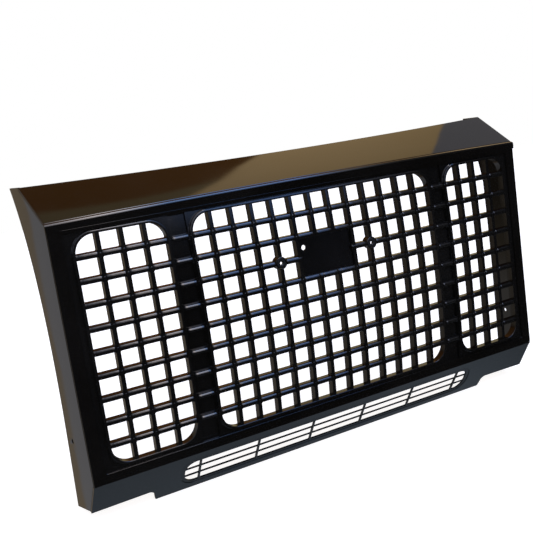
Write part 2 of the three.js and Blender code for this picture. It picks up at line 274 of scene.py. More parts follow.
def settle(obj):
    """Bakes an object's modifiers into a plain mesh."""
    bpy.context.view_layer.update()
    finished = bpy.data.meshes.new_from_object(obj.evaluated_get(bpy.context.evaluated_depsgraph_get()))
    obj.modifiers.clear()
    obj.data = finished
    return obj


def as_object(mesh):
    obj = bpy.data.objects.new(mesh.name, mesh)
    bpy.context.scene.collection.objects.link(obj)
    return obj


def softened(name, forms, width, segments=3):
    """The forms as one mesh with every sharp edge rounded over."""
    obj = as_object(to_mesh(name, forms))
    bevel = obj.modifiers.new("edge", "BEVEL")
    bevel.width = width * MM
    bevel.segments = segments
    bevel.limit_method = "ANGLE"
    bevel.angle_limit = math.radians(32)
    bevel.harden_normals = False
    mesh = settle(obj).data
    bpy.data.objects.remove(obj)
    return mesh


def finish_piece(name, forms, meshes, material, nodes):
    """One shown piece: it stands for its CAD nodes and rides on the grille's only body."""
    mesh = to_mesh(name, forms, meshes)
    mesh.polygons.foreach_set("use_smooth", [True] * len(mesh.polygons))
    mesh.set_sharp_from_angle(angle=math.radians(28))
    mesh.materials.clear()
    mesh.materials.append(material)
    obj = as_object(mesh)
    even = obj.modifiers.new("even shading", "WEIGHTED_NORMAL")
    even.keep_sharp = True
    settle(obj)
    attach(obj, "root")
    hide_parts(*nodes)
    return obj


# ---------------------------------------------------------------- what repeats


def link(tree, source, target):
    tree.links.new(source, target)


def math_node(tree, operation, first, second=None):
    node = tree.nodes.new("ShaderNodeMath")
    node.operation = operation
    for socket, value in zip(node.inputs, (first, second)):
        if value is None:
            continue
        if isinstance(value, (int, float)):
            socket.default_value = value
        else:
            link(tree, value, socket)
    return node.outputs[0]


def repeat_tree():
    """Copies a seed shape over columns and rows, then lays the copies on the crown of the face."""
    tree = bpy.data.node_groups.new("Repeat over the crowned face", "GeometryNodeTree")
    face = tree.interface
    sockets = {}
    for name, kind in (
        ("Seed", "NodeSocketGeometry"),
        ("Columns", "NodeSocketInt"),
        ("Rows", "NodeSocketInt"),
        ("Step", "NodeSocketFloat"),
        ("Crown", "NodeSocketFloat"),
        ("Half width", "NodeSocketFloat"),
        ("Half height", "NodeSocketFloat"),
        ("Middle height", "NodeSocketFloat"),
        ("Finish", "NodeSocketMaterial"),
    ):
        sockets[name] = face.new_socket(name, in_out="INPUT", socket_type=kind).identifier
    face.new_socket("Copies", in_out="OUTPUT", socket_type="NodeSocketGeometry")
    given = tree.nodes.new("NodeGroupInput").outputs
    result = tree.nodes.new("NodeGroupOutput").inputs

    down = tree.nodes.new("GeometryNodeMeshLine")
    link(tree, given["Rows"], down.inputs["Count"])
    step_down = tree.nodes.new("ShaderNodeCombineXYZ")
    link(tree, math_node(tree, "MULTIPLY", given["Step"], -1.0), step_down.inputs["Z"])
    link(tree, step_down.outputs[0], down.inputs["Offset"])
    across = tree.nodes.new("GeometryNodeMeshLine")
    link(tree, given["Columns"], across.inputs["Count"])
    step_across = tree.nodes.new("ShaderNodeCombineXYZ")
    link(tree, given["Step"], step_across.inputs["X"])
    link(tree, step_across.outputs[0], across.inputs["Offset"])

    places = tree.nodes.new("GeometryNodeInstanceOnPoints")
    link(tree, across.outputs[0], places.inputs["Points"])
    link(tree, down.outputs[0], places.inputs["Instance"])
    spread = tree.nodes.new("GeometryNodeRealizeInstances")
    link(tree, places.outputs[0], spread.inputs[0])
    copies = tree.nodes.new("GeometryNodeInstanceOnPoints")
    link(tree, spread.outputs[0], copies.inputs["Points"])
    link(tree, given["Seed"], copies.inputs["Instance"])
    real = tree.nodes.new("GeometryNodeRealizeInstances")
    link(tree, copies.outputs[0], real.inputs[0])

    where = tree.nodes.new("ShaderNodeSeparateXYZ")
    link(tree, tree.nodes.new("GeometryNodeInputPosition").outputs[0], where.inputs[0])
    height = math_node(tree, "SUBTRACT", where.outputs["Z"], given["Middle height"])
    sides = []
    for value, reach in ((where.outputs["X"], given["Half width"]), (height, given["Half height"])):
        part = math_node(tree, "DIVIDE", value, reach)
        sides.append(math_node(tree, "SUBTRACT", 1.0, math_node(tree, "MULTIPLY", part, part)))
    fall = math_node(tree, "SUBTRACT", 1.0, math_node(tree, "MULTIPLY", *sides))
    shift = tree.nodes.new("ShaderNodeCombineXYZ")
    link(tree, math_node(tree, "MULTIPLY", fall, given["Crown"]), shift.inputs["Y"])
    laid = tree.nodes.new("GeometryNodeSetPosition")
    link(tree, real.outputs[0], laid.inputs["Geometry"])
    link(tree, shift.outputs[0], laid.inputs["Offset"])
    finish = tree.nodes.new("GeometryNodeSetMaterial")
    link(tree, laid.outputs[0], finish.inputs["Geometry"])
    link(tree, given["Finish"], finish.inputs["Material"])
    link(tree, finish.outputs[0], result[0])
    return tree, sockets


def scatter_tree():
    """Puts a copy of one shape on each point of a mesh."""
    tree = bpy.data.node_groups.new("Place on points", "GeometryNodeTree")
    face = tree.interface
    sockets = {
        "Points": face.new_socket("Points", in_out="INPUT", socket_type="NodeSocketGeometry").identifier,
        "Shape": face.new_socket("Shape", in_out="INPUT", socket_type="NodeSocketObject").identifier,
        "Finish": face.new_socket("Finish", in_out="INPUT", socket_type="NodeSocketMaterial").identifier,
    }
    face.new_socket("Copies", in_out="OUTPUT", socket_type="NodeSocketGeometry")
    given = tree.nodes.new("NodeGroupInput").outputs
    result = tree.nodes.new("NodeGroupOutput").inputs
    shape = tree.nodes.new("GeometryNodeObjectInfo")
    link(tree, given["Shape"], shape.inputs["Object"])
    copies = tree.nodes.new("GeometryNodeInstanceOnPoints")
    link(tree, given["Points"], copies.inputs["Points"])
    link(tree, shape.outputs["Geometry"], copies.inputs["Instance"])
    real = tree.nodes.new("GeometryNodeRealizeInstances")
    link(tree, copies.outputs[0], real.inputs[0])
    finish = tree.nodes.new("GeometryNodeSetMaterial")
    link(tree, real.outputs[0], finish.inputs["Geometry"])
    link(tree, given["Finish"], finish.inputs["Material"])
    link(tree, finish.outputs[0], result[0])
    return tree, sockets


REPEAT, REPEAT_IN = repeat_tree()
SCATTER, SCATTER_IN = scatter_tree()


def repeated(seed, columns, rows, material):
    """Copies of a seed form, a pitch apart to the right and downwards, laid on the crown."""
    obj = as_object(to_mesh("seed", [seed]))
    modifier = obj.modifiers.new("copies", "NODES")
    modifier.node_group = REPEAT
    values = {
        "Columns": columns,
        "Rows": rows,
        "Step": PITCH * MM,
        "Crown": CROWN * MM,
        "Half width": CROWN_HALF_WIDTH * MM,
        "Half height": CROWN_HALF_HEIGHT * MM,
        "Middle height": ORIGIN.z,
        "Finish": material,
    }
    for name, value in values.items():
        modifier[REPEAT_IN[name]] = value
    mesh = settle(obj).data
    bpy.data.objects.remove(obj)
    return mesh


def scattered(form, sites, depth, material):
    """Copies of a form whose own place is the layout's zero point, one on each site (x, z)."""
    points, faces = form
    shape_mesh = bpy.data.meshes.new("shape")
    shape_mesh.from_pydata([p * MM for p in points], [], faces)
    shape = as_object(shape_mesh)
    site_mesh = bpy.data.meshes.new("sites")
    site_mesh.from_pydata([to_row((x, depth, z)) for x, z in sites], [], [])
    obj = as_object(site_mesh)
    modifier = obj.modifiers.new("copies", "NODES")
    modifier.node_group = SCATTER
    modifier[SCATTER_IN["Shape"]] = shape
    modifier[SCATTER_IN["Finish"]] = material
    mesh = settle(obj).data
    bpy.data.objects.remove(obj)
    bpy.data.objects.remove(shape)
    return mesh


# ---------------------------------------------------------------- finishes


def new_group(name, inputs, outputs):
    tree = bpy.data.node_groups.new(name, "ShaderNodeTree")
    for label, kind, default in inputs:
        socket = tree.interface.new_socket(label, in_out="INPUT", socket_type=kind)
        socket.default_value = default
    for label, kind in outputs:
        tree.interface.new_socket(label, in_out="OUTPUT", socket_type=kind)
    return tree, tree.nodes.new("NodeGroupInput").outputs, tree.nodes.new("NodeGroupOutput").inputs


def noise(tree, coordinates, scale, detail=4.0, roughness=0.55):
    node = tree.nodes.new("ShaderNodeTexNoise")
    node.inputs["Detail"].default_value = detail
    node.inputs["Roughness"].default_value = roughness
    link(tree, coordinates, node.inputs["Vector"])
    if isinstance(scale, (int, float)):
        node.inputs["Scale"].default_value = scale
    else:
        link(tree, scale, node.inputs["Scale"])
    return node.outputs["Fac"]


def ranged(tree, value, low, high, out_low, out_high):
    node = tree.nodes.new("ShaderNodeMapRange")
    for socket, setting in zip(node.inputs, (value, low, high, out_low, out_high)):
        if isinstance(setting, (int, float)):
            socket.default_value = setting
        else:
            link(tree, setting, socket)
    return node.outputs[0]


def mixed(tree, amount, first, second):
    node = tree.nodes.new("ShaderNodeMix")
    node.data_type = "RGBA"
    for name, value in (("Factor", amount), ("A", first), ("B", second)):
        colour = name != "Factor"
        found = [s for s in node.inputs if s.name == name and (s.type == "RGBA") == colour and s.enabled]
        socket = found[0]
        if isinstance(value, (tuple, int, float)):
            socket.default_value = value
        else:
            link(tree, value, socket)
    return next(s for s in node.outputs if s.type == "RGBA")


def dust_group():
    """A thin film of dust: more on faces that look up, broken up by soft patches and fine specks."""
    tree, given, result = new_group(
        "Dust film",
        [("Amount", "NodeSocketFloat", 0.3), ("Patch scale", "NodeSocketFloat", 14.0)],
        [("Film", "NodeSocketFloat"), ("Specks", "NodeSocketFloat")],
    )
    place = tree.nodes.new("ShaderNodeTexCoord").outputs["Object"]
    patches = ranged(tree, noise(tree, place, given["Patch scale"], 6), 0.42, 0.72, 0.0, 1.0)
    specks = ranged(tree, noise(tree, place, 900.0, 2), 0.66, 0.74, 0.0, 1.0)
    upward = tree.nodes.new("ShaderNodeSeparateXYZ")
    link(tree, tree.nodes.new("ShaderNodeNewGeometry").outputs["Normal"], upward.inputs[0])
    lying = ranged(tree, upward.outputs["Z"], 0.1, 0.9, 0.25, 1.0)
    film = math_node(tree, "MULTIPLY", math_node(tree, "MULTIPLY", patches, lying), given["Amount"])
    link(tree, film, result["Film"])
    link(tree, math_node(tree, "MULTIPLY", specks, lying), result["Specks"])
    return tree


def skin_group():
    """The slight waviness of a glossy moulding, with fine hairline scratches."""
    tree, given, result = new_group(
        "Moulded skin",
        [("Ripple scale", "NodeSocketFloat", 90.0), ("Ripple depth", "NodeSocketFloat", 0.00004)],
        [("Normal", "NodeSocketVector"), ("Scuffs", "NodeSocketFloat")],
    )
    place = tree.nodes.new("ShaderNodeTexCoord").outputs["Object"]
    ripple = noise(tree, place, given["Ripple scale"], 2, 0.4)
    stretch = tree.nodes.new("ShaderNodeMapping")
    stretch.inputs["Scale"].default_value = (18, 160, 420)
    stretch.inputs["Rotation"].default_value = (0.3, 0.5, 0.9)
    link(tree, place, stretch.inputs["Vector"])
    scuffs = ranged(tree, noise(tree, stretch.outputs[0], 3.0, 3, 0.7), 0.62, 0.78, 0.0, 1.0)
    bump = tree.nodes.new("ShaderNodeBump")
    bump.inputs["Strength"].default_value = 1.0
    link(tree, given["Ripple depth"], bump.inputs["Distance"])
    link(tree, ripple, bump.inputs["Height"])
    link(tree, bump.outputs[0], result["Normal"])
    link(tree, scuffs, result["Scuffs"])
    return tree


DUST = dust_group()
SKIN = skin_group()


def placed_group(tree, group, **values):
    node = tree.nodes.new("ShaderNodeGroup")
    node.node_tree = group
    for name, value in values.items():
        node.inputs[name.replace("_", " ")].default_value = value
    return node.outputs


def plastic(name, colour, dusty, roughness, dust_amount, ripple_depth, patch_scale=14.0, coat=0.0):
    """A moulded black plastic: its colour lifts where dust lies, and its gloss breaks there and at scuffs."""
    material = bpy.data.materials.new(name)
    material.use_nodes = True
    tree = material.node_tree
    shader = tree.nodes["Principled BSDF"]
    dust = placed_group(tree, DUST, Amount=dust_amount, Patch_scale=patch_scale)
    skin = placed_group(tree, SKIN, Ripple_depth=ripple_depth)
    place = tree.nodes.new("ShaderNodeTexCoord").outputs["Object"]
    tone = ranged(tree, noise(tree, place, 6.0, 3), 0.3, 0.7, 0.0, 1.0)
    base = mixed(tree, tone, (*colour, 1), (*[c * 1.45 + 0.0015 for c in colour], 1))
    dull = mixed(tree, dust["Film"], base, (*dusty, 1))
    speckled = mixed(tree, math_node(tree, "MULTIPLY", dust["Specks"], 0.35), dull, (*dusty, 1))
    link(tree, speckled, shader.inputs["Base Color"])
    gloss = ranged(tree, tone, 0.0, 1.0, roughness, roughness * 1.5)
    rough = math_node(tree, "ADD", gloss, math_node(tree, "MULTIPLY", dust["Film"], 0.35))
    scuffed = math_node(tree, "ADD", rough, math_node(tree, "MULTIPLY", skin["Scuffs"], 0.1))
    link(tree, scuffed, shader.inputs["Roughness"])
    link(tree, skin["Normal"], shader.inputs["Normal"])
    shader.inputs["IOR"].default_value = 1.5
    shader.inputs["Coat Weight"].default_value = coat
    shader.inputs["Coat Roughness"].default_value = 0.05
    return material


def zinc(name):
    """Bright zinc plating on the screws, slightly mottled in colour and gloss."""
    material = bpy.data.materials.new(name)
    material.use_nodes = True
    tree = material.node_tree
    shader = tree.nodes["Principled BSDF"]
    place = tree.nodes.new("ShaderNodeTexCoord").outputs["Object"]
    mottle = noise(tree, place, 700.0, 4)
    link(tree, mixed(tree, mottle, (0.24, 0.25, 0.27, 1), (0.46, 0.47, 0.47, 1)), shader.inputs["Base Color"])
    link(tree, ranged(tree, mottle, 0.3, 0.7, 0.28, 0.46), shader.inputs["Roughness"])
    shader.inputs["Metallic"].default_value = 1.0
    bump = tree.nodes.new("ShaderNodeBump")
    bump.inputs["Distance"].default_value = 0.00003
    link(tree, noise(tree, place, 2600.0, 2), bump.inputs["Height"])
    link(tree, bump.outputs[0], shader.inputs["Normal"])
    return material


SHELL_BLACK = plastic(
    "shell gloss black", (0.0016, 0.0014, 0.0012), (0.08, 0.075, 0.065), 0.03, 0.02, 0.000004, coat=0.2
)
MESH_BLACK = plastic("mesh gloss black", (0.002, 0.0019, 0.0018), (0.09, 0.08, 0.07), 0.1, 0.04, 0.00001, 22)
VENT_BLACK = plastic("vent gloss black", (0.002, 0.002, 0.002), (0.09, 0.085, 0.075), 0.12, 0.05, 0.00001, 22)
PLATE_BLACK = plastic(
    "plate satin black", (0.0014, 0.0012, 0.001), (0.08, 0.07, 0.06), 0.16, 0.015, 0.00001, 18
)
BUSH_BLACK = plastic("bush satin black", (0.002, 0.002, 0.002), (0.08, 0.075, 0.07), 0.3, 0.04, 0.00001, 30)
ZINC = zinc("screw zinc")

# ---------------------------------------------------------------- the mesh inserts

UPRIGHT_FRONT = FRONT + 0.35
SHOULDER = 0.75
UPRIGHT = rounded(
    [
        (-BAR / 2 + 0.1, UPRIGHT_FRONT, 0.9),
        (BAR / 2 - 0.1, UPRIGHT_FRONT, 0.9),
        (BAR / 2, BACK, 0.5),
        (-BAR / 2, BACK, 0.5),
    ],
    3,
)
LEVEL = rounded(
    [
        (FRONT + 0.05, -LEVEL_BAR / 2 + 0.05, 3.9),
        (FRONT + 0.05, LEVEL_BAR / 2 - 0.05, 3.9),
        (BACK, LEVEL_BAR / 2 + 0.2, 0.5),
        (BACK, -LEVEL_BAR / 2 - 0.2, 0.5),
    ],
    5,
)


def upright_bar(x, low, high):
    return loft([[(x + p.x, p.y, z) for p in UPRIGHT] for z in spaced(low, high, PITCH / 3)])


def level_bar(left, right, z):
    """A level bar that dips where the upright bars cross it, so each stretch ends in a soft shoulder."""
    dips = [(0, 1), (2.6, 1), (3.2, 0.8), (3.9, 0.35), (4.8, 0), (PITCH / 3, 0)]
    stations = []
    for cell in range(round((right - left) / PITCH)):
        start = left + cell * PITCH
        stations += [(start + x, dip) for x, dip in dips]
        stations += [(start + PITCH - x, dip) for x, dip in reversed(dips[1:])]
    stations.append((right, 1))
    rings = []
    for x, dip in stations:
        rings.append([(x, p.x + SHOULDER * dip * (BACK - p.x) / (BACK - FRONT), z + p.y) for p in LEVEL])
    return loft(rings)


def blunt_bar(left, right, z):
    """A level bar whose two ends are rounded over."""
    middle = (FRONT + BACK) / 2
    ends = [(0, 0.5), (0.4, 0.75), (1.2, 0.93), (2.2, 1)]
    stations = [(left + inset, size) for inset, size in ends]
    stations += [(x, 1) for x in spaced(left + 6, right - 6, PITCH / 3)]
    stations += [(right - inset, size) for inset, size in reversed(ends)]
    rings = []
    for x, size in stations:
        rings.append([(x, middle + (p.x - middle) * (0.5 + size / 2), z + p.y * size) for p in LEVEL])
    return loft(rings)


def both(first, second):
    """Two forms as one."""
    points, faces = first
    more_points, more_faces = second
    shift = len(points)
    return points + more_points, faces + [tuple(i + shift for i in face) for face in more_faces]


def crossing(x, z, fillet=1.5):
    """The small radii in the four corners where two bars cross, and the low dome on the crossing."""
    across = BAR / 2 + 0.1
    up = LEVEL_BAR / 2 + 0.05
    outline = []
    for sx, sz in ((1, -1), (1, 1), (-1, 1), (-1, -1)):
        centre = Vector((sx * (across + fillet), sz * (up + fillet)))
        turns = [k * math.pi / 6 for k in range(4)]
        arc = [centre - fillet * Vector((sx * math.sin(a), sz * math.cos(a))) for a in turns]
        outline += arc if sx * sz > 0 else arc[::-1]
    web = loft([[(x + p.x, y, z + p.y) for p in outline] for y in (FRONT + 2.2, BACK - 0.7)])
    heights = [(0.25, FRONT + 0.02), (1.1, FRONT + 0.08), (1.7, FRONT + 0.22), (2.1, FRONT + 0.6)]
    dome = []
    for size, y in heights:
        turns = spaced(0, math.tau, 0.55)[:-1]
        dome.append([(x + size * math.cos(a), y, z + 1.35 * size * math.sin(a)) for a in turns])
    return both(web, loft(dome))


def window_rim(inner_left, inner_right, left_rim, right_rim):
    """The rim round one window, its corners filled out to quarter rounds with a raised edge."""
    radius = PITCH - BAR / 2 - LEVEL_BAR / 2 + 0.4
    low, high = -TOP_LINE + LEVEL_BAR / 2, TOP_LINE - LEVEL_BAR / 2
    rims = {
        "left": left_rim,
        "right": right_rim,
        "bottom": low - FIELD["bottom"] - GAP,
        "top": FIELD["top"] - GAP - high,
    }
    samples = []

    def corner(cx, cz, start, across, up):
        for k in range(13):
            a = start + k * math.pi / 24
            way = Vector((math.cos(a), math.sin(a)))
            square = way / max(abs(way.x), abs(way.y))
            inner = (cx + way.x * radius, cz + way.y * radius)
            outer = (cx + square.x * (radius + across), cz + square.y * (radius + up))
            samples.append((inner, outer))

    def straight(start, end, out):
        steps = spaced(0, 1, PITCH / 3 / math.dist(start, end))[1:-1]
        for t in steps:
            p = Vector(start).lerp(Vector(end), t)
            samples.append((tuple(p), (p.x + out[0], p.y + out[1])))

    corner(inner_right - radius, high - radius, 0, rims["right"], rims["top"])
    straight((inner_right - radius, high), (inner_left + radius, high), (0, rims["top"]))
    corner(inner_left + radius, high - radius, math.pi / 2, rims["left"], rims["top"])
    straight((inner_left, high - radius), (inner_left, low + radius), (-rims["left"], 0))
    corner(inner_left + radius, low + radius, math.pi, rims["left"], rims["bottom"])
    straight((inner_left + radius, low), (inner_right - radius, low), (0, -rims["bottom"]))
    corner(inner_right - radius, low + radius, 1.5 * math.pi, rims["right"], rims["bottom"])
    straight((inner_right, low + radius), (inner_right, high - radius), (rims["right"], 0))

    rings = []
    for inner, outer in samples:
        inner, outer = Vector(inner), Vector(outer)
        width = (outer - inner).length
        way = (outer - inner) / width
        ridge = min(4.6, width - 1.0)
        section = [
            (0, BACK),
            (0, FRONT + 1.3),
            (0.25, FRONT + 0.5),
            (0.8, FRONT + 0.1),
            (1.4, FRONT),
            (ridge - 1.2, FRONT),
            (ridge - 0.6, FRONT + 0.12),
            (ridge - 0.1, FRONT + 0.6),
            (ridge, FRONT + 1.3),
            (ridge + 0.3, RECESS - 0.6),
            (min(ridge + 0.9, width - 0.05), RECESS),
            (width, RECESS),
            (width, BACK),
        ]
        ring = []
        for reach, y in section:
            p = inner + way * reach
            ring.append((p.x, y + crown(p.x, p.y), p.y))
        rings.append(ring)
    return loft(rings, closed=True)


def flange_strip(left, right, bottom, top):
    """One straight run of the flange behind the frame, with a hole round each screw boss."""
    inside = [(x, z) for x, z in SCREW_SITES if left < x < right and bottom < z < top]
    outline = rounded([(left, bottom, 0), (right, bottom, 0), (right, top, 0), (left, top, 0)])
    holes = [circle(x, z, BOSS_CLEARANCE) for x, z in inside]
    return plate(outline, holes, SHELL_START, SHELL_START + FLANGE)


def flange_ends(left, right):
    return [
        flange_strip(left, right, TOP_LINE - FLANGE_LAP, FIELD["top"] + FLANGE_REACH),
        flange_strip(left, right, FIELD["bottom"] - FLANGE_REACH, -TOP_LINE + FLANGE_LAP),
    ]


def side_mesh(side):
    """The right window's insert, or its mirror image on the left."""
    near, far = SIDE_EDGES
    outer = far - END_RIM
    forms = [window_rim(near + BAR / 2, outer, BAR, FIELD["half"] - GAP - outer)]
    side_edge = FIELD["half"] + FLANGE_SIDE_REACH
    forms += flange_ends(near - BAR / 2, side_edge)
    forms += [flange_strip(far, side_edge, FIELD["bottom"] - FLANGE_REACH, FIELD["top"] + FLANGE_REACH)]
    if side < 0:
        forms = [mirrored(form) for form in forms]
    start = near if side > 0 else -far
    first_crossing = start if side > 0 else start + PITCH
    meshes = [
        repeated(upright_bar(start + PITCH, -TOP_LINE + 2, TOP_LINE - 2), 3, 1, MESH_BLACK),
        repeated(level_bar(start, start + 4 * PITCH, 4 * PITCH), 1, 9, MESH_BLACK),
        repeated(crossing(first_crossing, 4 * PITCH), 4, 9, MESH_BLACK),
    ]
    name = "right_mesh" if side > 0 else "left_mesh"
    finish_piece(f"{name}_insert", forms, meshes, MESH_BLACK, [name])


BADGE_X = 1.5 * PITCH
BADGE_HIGH = 3 * PITCH
BADGE_LOW = PITCH
BADGE_MIDDLE = 2 * PITCH
BOSS_X = 2.5 * PITCH
BOSS_CLEAR = 8.8
BADGE_HOLE = {"x": -38.3, "z": 15, "radius": 4}
RIB_HALF = 13
RIB_ROUNDING = 0.1


def boss(side):
    """A round boss on a crossing, with its edge rounded over and a bore for the bush."""
    profile = [
        (8.0, BACK),
        (8.0, FRONT + 0.2),
        (8.2, FRONT - 0.15),
        (8.6, FRONT - 0.32),
        (9.1, FRONT - 0.2),
        (9.55, FRONT + 0.4),
        (9.75, FRONT + 1.4),
        (9.6, BACK),
    ]
    return turned(profile, side * BOSS_X, BADGE_MIDDLE)


def bar_stub():
    """The short bar beside the plate: its blunt end lies over the plate's edge."""
    opening = BADGE_X - BAR / 2
    over = -1.8
    stub = blunt_bar(opening - 1.6, BOSS_X - BOSS_CLEAR, BADGE_MIDDLE)
    return moved(stub, lambda p: (p.x, min(p.y, over) if p.x < opening else p.y, p.z))


def centre_mesh():
    edge = CENTRE_EDGE
    top = TOP_LINE - 2
    runs = [(-edge + PITCH, 3, -top, top), (-BADGE_X, 1, -top, top), (BADGE_X, 1, -top, top)]
    runs += [(BOSS_X + PITCH, 3, -top, top)]
    runs += [(-PITCH / 2, 2, BADGE_HIGH, top), (-PITCH / 2, 2, -top, BADGE_LOW)]
    for x in (-BOSS_X, BOSS_X):
        runs += [(x, 1, -top, BADGE_MIDDLE - BOSS_CLEAR), (x, 1, BADGE_MIDDLE + BOSS_CLEAR, top)]
    meshes = [repeated(upright_bar(x, low, high), count, 1, MESH_BLACK) for x, count, low, high in runs]
    meshes += [
        repeated(level_bar(-edge, edge, 4 * PITCH), 1, 2, MESH_BLACK),
        repeated(level_bar(-edge, edge, BADGE_LOW), 1, 6, MESH_BLACK),
        repeated(crossing(-edge, 4 * PITCH), 14, 1, MESH_BLACK),
        repeated(crossing(-edge, 0), 14, 5, MESH_BLACK),
    ]
    for row in (BADGE_HIGH, BADGE_LOW):
        meshes += [repeated(crossing(x, row), 6, 1, MESH_BLACK) for x in (-edge, BADGE_X)]
    for x, count in ((-edge, 4), (-BADGE_X, 1), (BADGE_X, 1), (BOSS_X + PITCH, 4)):
        meshes.append(repeated(crossing(x, BADGE_MIDDLE), count, 1, MESH_BLACK))
    forms = [window_rim(-edge + BAR / 2, edge - BAR / 2, BAR, BAR)]
    forms += flange_ends(-edge - BAR / 2, edge + BAR / 2)
    for side in (-1, 1):
        bars = [bar_stub(), blunt_bar(BOSS_X + BOSS_CLEAR, BOSS_X + PITCH, BADGE_MIDDLE)]
        bars += [level_bar(BOSS_X + PITCH, edge, BADGE_MIDDLE)]
        forms += [crowned(bar if side > 0 else mirrored(bar)) for bar in bars]
        forms.append(crowned(boss(side)))
    finish_piece("centre_mesh_insert", forms, meshes, MESH_BLACK, ["centre_mesh"])


def pillar(side):
    """A ribbed strip between two windows; each rib's ends stop short of the strip's edges."""
    half = PITCH / 2 - BAR / 2 - GAP
    x = side * 7 * PITCH
    section = rounded([(-half, 0.5, 0.6), (half, 0.5, 0.6), (half, 3.0, 0.3), (-half, 3.0, 0.3)], 2)
    strip = loft([[(x + p.x, p.y, z) for p in section] for z in spaced(-TOP_LINE, TOP_LINE, PITCH / 3)])
    top_row = 4 * PITCH
    strip_depth = 2.0
    rib = blunt_bar(x - RIB_HALF, x + RIB_HALF, top_row)
    rib = moved(rib, lambda p: (p.x, min(p.y + RIB_ROUNDING * (p.z - top_row) ** 2, strip_depth), p.z))
    meshes = [repeated(rib, 1, 9, MESH_BLACK)]
    name = "right_pillar" if side > 0 else "left_pillar"
    forms = [crowned(strip)] + flange_ends(x - half, x + half)
    finish_piece(f"{name}_strip", forms, meshes, MESH_BLACK, [name])


def badge_plate():
    """The blank plate leans with the crown around it."""
    half_width = BADGE_X - BAR / 2 - GAP
    half_height = PITCH - LEVEL_BAR / 2 - GAP
    signs = ((-1, -1), (1, -1), (1, 1), (-1, 1))
    outline = rounded([(sx * half_width, sz * half_height, 1.2) for sx, sz in signs])
    hole = circle(BADGE_HOLE["x"], BADGE_HOLE["z"], BADGE_HOLE["radius"], 32)
    flat = plate(outline, [hole], -1.3, 1.3)
    lean = math.atan(2 * CROWN * BADGE_MIDDLE / CROWN_HALF_HEIGHT**2)
    turn = Matrix.Rotation(-lean, 3, "X")
    at = Vector((0, crown(0, BADGE_MIDDLE), BADGE_MIDDLE))
    mesh = softened("plate", [moved(flat, lambda p: turn @ p + at)], 0.35)
    finish_piece("blank_badge_plate", [], [mesh], PLATE_BLACK, ["badge_plate"])


def badge_bush(side):
    x = side * BOSS_X
    depth = crown(x, BADGE_MIDDLE)
    profile = [
        (2.3, -3.4),
        (2.3, -5.7),
        (2.9, -6.2),
        (3.5, -6.5),
        (6.9, -6.55),
        (7.45, -6.35),
        (7.7, -5.9),
        (7.7, -3.4),
    ]
    form = turned(profile, x, BADGE_MIDDLE, depth)
    name = "right_badge_bush" if side > 0 else "left_badge_bush"
    finish_piece(f"{name}_disc", [form], [], BUSH_BLACK, [name])


# ---------------------------------------------------------------- the shell


def lip_height(x):
    return LIP_ENDS + (LIP_MIDDLE - LIP_ENDS) * (1 - (x / BAND_HALF) ** 2)


def face_ring():
    """The flat ring of the face, as a closed loop of sections round the mesh's opening."""
    radius = 3
    top = BAND_BOTTOM + 1
    half, high, low = FIELD["half"], FIELD["top"], FIELD["bottom"]
    loop = []
    for cx, cz, sx, sz in (
        (half - radius, high - radius, 1, 1),
        (-half + radius, high - radius, -1, 1),
        (-half + radius, low + radius, -1, -1),
        (half - radius, low + radius, 1, -1),
    ):
        quarter = [(math.cos(k * math.pi / 12), math.sin(k * math.pi / 12)) for k in range(7)]
        if sx * sz < 0:
            quarter.reverse()
        for c, s in quarter:
            square = Vector((c, s)) / max(c, s)
            reach_x = FACE_HALF - abs(cx)
            reach_z = abs(top if sz > 0 else FACE_BOTTOM) - abs(cz)
            inner = Vector((cx + sx * radius * c, cz + sz * radius * s))
            outer = Vector((cx + sx * reach_x * square.x, cz + sz * reach_z * square.y))
            loop.append((inner, outer))
    return loft([face_section(inner, outer) for inner, outer in loop], closed=True)


def face_section(inner, outer):
    """One section of the ring: a small radius at the opening and a rounded outer edge, fuller at the foot."""
    step = (outer - inner).normalized()
    run, drop = (4.5, 2.4) if outer.y < FACE_BOTTOM + 0.01 else (1.5, 1.4)
    section = [
        (inner, FACE_BACK),
        (inner, FACE_FRONT + 0.9),
        (inner + 0.3 * step, FACE_FRONT + 0.25),
        (inner + 0.9 * step, FACE_FRONT),
    ]
    for k in range(5):
        a = k * math.pi / 8
        section.append((outer - step * run * (1 - math.sin(a)), FACE_FRONT + drop * (1 - math.cos(a))))
    section.append((outer, FACE_BACK))
    return [(p.x, y, p.y) for p, y in section]


def face_band():
    """The proud band along the top of the face, with its rounded lip."""
    rise = (FACE_BACK - BAND_FRONT) * math.tan(LIP_SLOPE)
    rings = []
    for x in spaced(-BAND_HALF, BAND_HALF, 12):
        z = lip_height(x) - 0.4
        section = [
            (BAND_FRONT, BAND_BOTTOM, 0.5),
            (BAND_FRONT, z, LIP_RADIUS),
            (FACE_BACK, z + rise * 0.6, 0.15),
            (FACE_BACK, BAND_BOTTOM, 0.15),
        ]
        rings.append([(x, p.x, p.y) for p in rounded(section, 5)])
    return loft(rings)


def face_frame():
    """The flat ring round the mesh, the proud band above it and the screw bosses behind."""
    boss_profile = [(1.6, 0.4), (1.6, 3.6), (3.0, 3.6), (3.2, 3.4), (3.2, 0), (0, 0), (0, 0.4)]
    bosses = scattered(turned(boss_profile, 0, 0, 0, 20), SCREW_SITES, FACE_BACK - 1, SHELL_BLACK)
    forms = [face_ring(), face_band()]
    finish_piece("face_surround", forms, [bosses], SHELL_BLACK, ["face_frame"])


